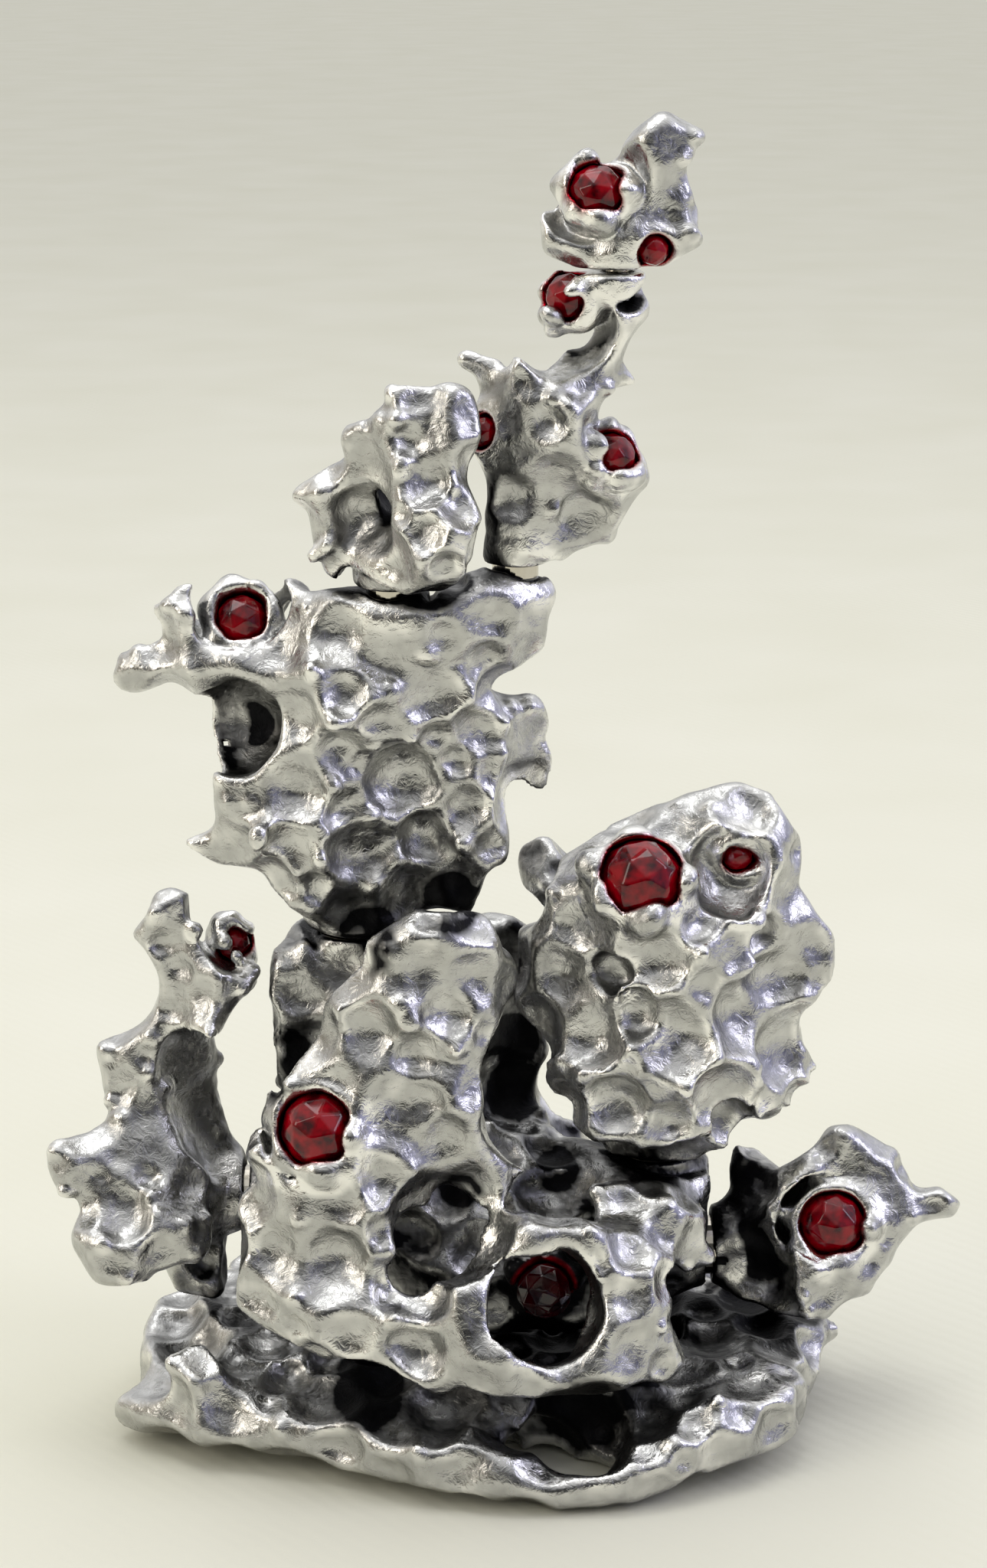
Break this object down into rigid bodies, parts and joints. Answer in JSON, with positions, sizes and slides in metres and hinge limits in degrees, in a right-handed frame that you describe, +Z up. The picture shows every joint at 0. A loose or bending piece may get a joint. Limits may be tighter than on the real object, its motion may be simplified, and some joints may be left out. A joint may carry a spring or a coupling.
{
  "type": "magnetic desk sculpture",
  "caption": "Upright free-form desk sculpture of bowl-pitted bright cast metal set with ruby glass beads, stacked from castings that lift off and turn on disc magnets.",
  "frame": {"origin": "middle of the face that stands on the desk, on the desk's surface", "axes": "+Z up out of the desk, +X to the right of the front view, +Y away from the viewer; the front, with the glass beads, faces -Y"},
  "size_m": [0.1232, 0.0744, 0.1739],
  "materials": {
    "cast_aluminium": "bright as-cast skin, burnished on the ridges, dark in the deep wells",
    "ruby_glass": "faceted, fire polished, transparent deep red",
    "steel_slug": "ground flat",
    "nickel_magnet": "bright nickel plate"
  },
  "bodies": {
    "base": {"base_plate": "cast_aluminium", "crag": "cast_aluminium", "bead_collar": "ruby_glass", "bead_hollow": "ruby_glass", "column_slug_lower": "steel_slug", "head_slug_lower": "steel_slug", "wing_slug_lower": "steel_slug", "branch_slug_lower": "steel_slug"},
    "column_magnet": {"column_magnet": "nickel_magnet"},
    "column": {"column": "cast_aluminium", "column_slug_upper": "steel_slug", "bead_arm": "ruby_glass", "fist_slug_lower": "steel_slug", "stem_slug_lower": "steel_slug"},
    "fist_magnet": {"fist_magnet": "nickel_magnet"},
    "fist": {"fist": "cast_aluminium", "fist_slug_upper": "steel_slug"},
    "stem_magnet": {"stem_magnet": "nickel_magnet"},
    "stem": {"stem": "cast_aluminium", "stem_slug_upper": "steel_slug", "bead_neck": "ruby_glass", "bead_stem_fork": "ruby_glass", "bead_shoulder": "ruby_glass", "crown_slug_lower": "steel_slug"},
    "crown_magnet": {"crown_magnet": "nickel_magnet"},
    "crown": {"crown": "cast_aluminium", "crown_slug_upper": "steel_slug", "bead_crown_cup": "ruby_glass", "bead_crown_side": "ruby_glass"},
    "head_magnet": {"head_magnet": "nickel_magnet"},
    "head": {"head": "cast_aluminium", "head_slug_upper": "steel_slug", "bead_brow": "ruby_glass", "bead_hook": "ruby_glass"},
    "wing_magnet": {"wing_magnet": "nickel_magnet"},
    "left_wing": {"left_wing": "cast_aluminium", "wing_slug_upper": "steel_slug", "bead_wing": "ruby_glass"},
    "branch_magnet": {"branch_magnet": "nickel_magnet"},
    "branch": {"branch": "cast_aluminium", "branch_slug_upper": "steel_slug", "bead_branch": "ruby_glass"}
  },
  "joints": [
    {"name": "column_lift", "type": "slide", "parent": "base", "child": "column_magnet", "axis": [0, 0, 1], "range_m": [0, 0.015]},
    {"name": "column_swivel", "type": "hinge", "parent": "column_magnet", "child": "column", "pos_m": [-0.0185, 0.003, 0.067], "axis": [0, 0, 1], "range_deg": [-40, 90]},
    {"name": "fist_lift", "type": "slide", "parent": "column", "child": "fist_magnet", "axis": [0, 0, 1], "range_m": [0, 0.015]},
    {"name": "fist_swivel", "type": "hinge", "parent": "fist_magnet", "child": "fist", "pos_m": [-0.013, -0.003, 0.1145], "axis": [0, 0, 1], "range_deg": [-30, 15]},
    {"name": "stem_lift", "type": "slide", "parent": "column", "child": "stem_magnet", "axis": [0, 0, 1], "range_m": [0, 0.015]},
    {"name": "stem_swivel", "type": "hinge", "parent": "stem_magnet", "child": "stem", "pos_m": [0.0028, 0.002, 0.1165], "axis": [0, 0, 1], "range_deg": [-20, 30]},
    {"name": "crown_lift", "type": "slide", "parent": "stem", "child": "crown_magnet", "axis": [0, 0, 1], "range_m": [0, 0.012]},
    {"name": "crown_swivel", "type": "hinge", "parent": "crown_magnet", "child": "crown", "pos_m": [0.0155, 0, 0.1544], "axis": [0, 0, 1], "continuous": true},
    {"name": "head_lift", "type": "slide", "parent": "base", "child": "head_magnet", "axis": [0, 0, 1], "range_m": [0, 0.012]},
    {"name": "head_swivel", "type": "hinge", "parent": "head_magnet", "child": "head", "pos_m": [0.022, 0.001, 0.0365], "axis": [0, 0, 1], "range_deg": [-60, 15]},
    {"name": "wing_pull", "type": "slide", "parent": "base", "child": "wing_magnet", "axis": [-1, 0, 0], "range_m": [0, 0.015]},
    {"name": "wing_swivel", "type": "hinge", "parent": "wing_magnet", "child": "left_wing", "pos_m": [-0.0335, 0.004, 0.028], "axis": [-1, 0, 0], "range_deg": [-20, 45]},
    {"name": "branch_pull", "type": "slide", "parent": "base", "child": "branch_magnet", "axis": [1, 0, 0], "range_m": [0, 0.015]},
    {"name": "branch_swivel", "type": "hinge", "parent": "branch_magnet", "child": "branch", "pos_m": [0.0295, 0.004, 0.0205], "axis": [1, 0, 0], "range_deg": [-45, 15]}
  ]
}
